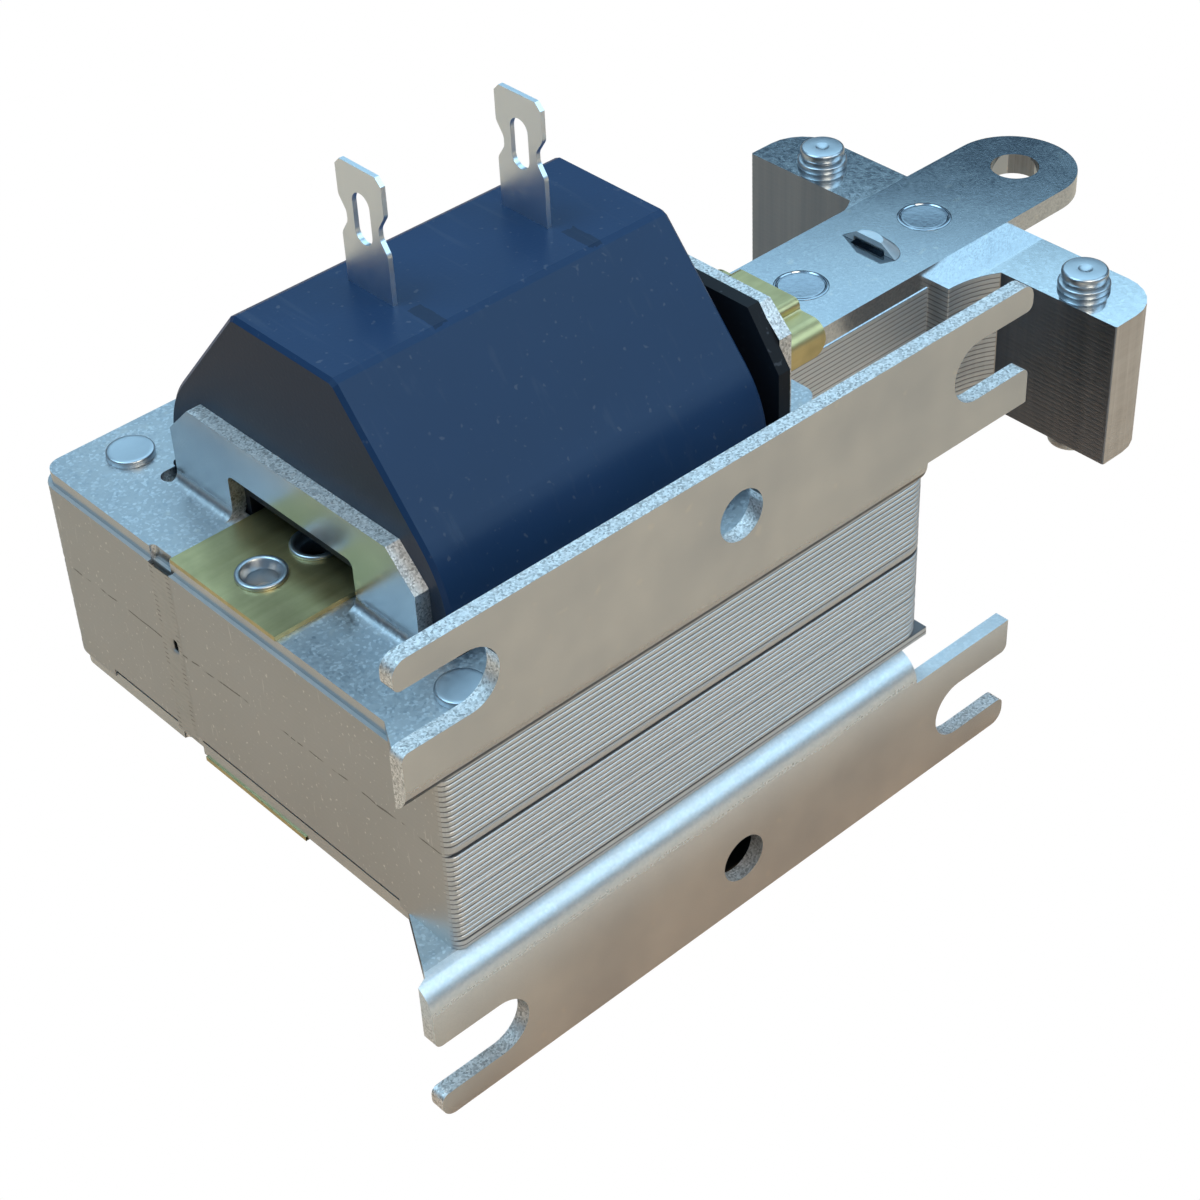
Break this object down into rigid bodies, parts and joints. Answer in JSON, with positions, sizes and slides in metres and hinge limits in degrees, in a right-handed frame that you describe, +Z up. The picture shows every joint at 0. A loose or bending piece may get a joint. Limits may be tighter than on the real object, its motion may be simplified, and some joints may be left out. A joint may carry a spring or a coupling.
{
  "type": "laminated frame solenoid",
  "caption": "Open-frame alternating-current solenoid with laminated frame, moulded coil, push-on terminals, flanged brackets and a sliding T-shaped plunger with a clevis end.",
  "frame": {"origin": "middle of the two centre mounting holes, on the outer face of the mounting flanges", "axes": "+X along the plunger, the way it is pulled out; +Y from the mounting face into the body; +Z up, the way the terminals point"},
  "size_m": [0.1204, 0.0628, 0.0736],
  "materials": {
    "core_steel": "cut edges of stacked electrical steel sheet, satin",
    "zinc_sheet": "bright zinc plate with fine spangle",
    "rivet_steel": "plated, headed ends",
    "black_moulding": "blue-black moulding, faint gloss",
    "copper_wire": "enamelled copper wire, wound",
    "bobbin_moulding": "black moulded nylon",
    "tinned_blade": "tinned, dull grey",
    "guide_brass": "rolled brass, dull olive gold",
    "eyelet_steel": "plated, curled rim",
    "copper_bar": "bare copper bar",
    "plunger_steel": "ground edges of stacked electrical steel sheet"
  },
  "bodies": {
    "frame_body": {"upper_lamination_pack": "core_steel", "centre_plate": "core_steel", "lower_lamination_pack": "core_steel", "leg_strips": "core_steel", "top_bracket": "zinc_sheet", "bottom_bracket": "zinc_sheet", "frame_rivets": "rivet_steel", "coil_case": "black_moulding", "coil_winding": "copper_wire", "bobbin": "bobbin_moulding", "coil_leads": "copper_wire", "terminal_near": "tinned_blade", "terminal_far": "tinned_blade", "upper_guide": "guide_brass", "lower_guide": "guide_brass", "upper_guide_eyelets": "eyelet_steel", "lower_guide_eyelets": "eyelet_steel", "shading_rings": "copper_bar"},
    "plunger_body": {"plunger_laminations": "plunger_steel", "upper_link_plate": "zinc_sheet", "lower_link_plate": "zinc_sheet", "link_rivets": "rivet_steel", "head_studs": "rivet_steel"}
  },
  "joints": [
    {"name": "plunger_slide", "type": "slide", "parent": "frame_body", "child": "plunger_body", "axis": [1, 0, 0], "range_m": [-0.0324, 0]}
  ]
}
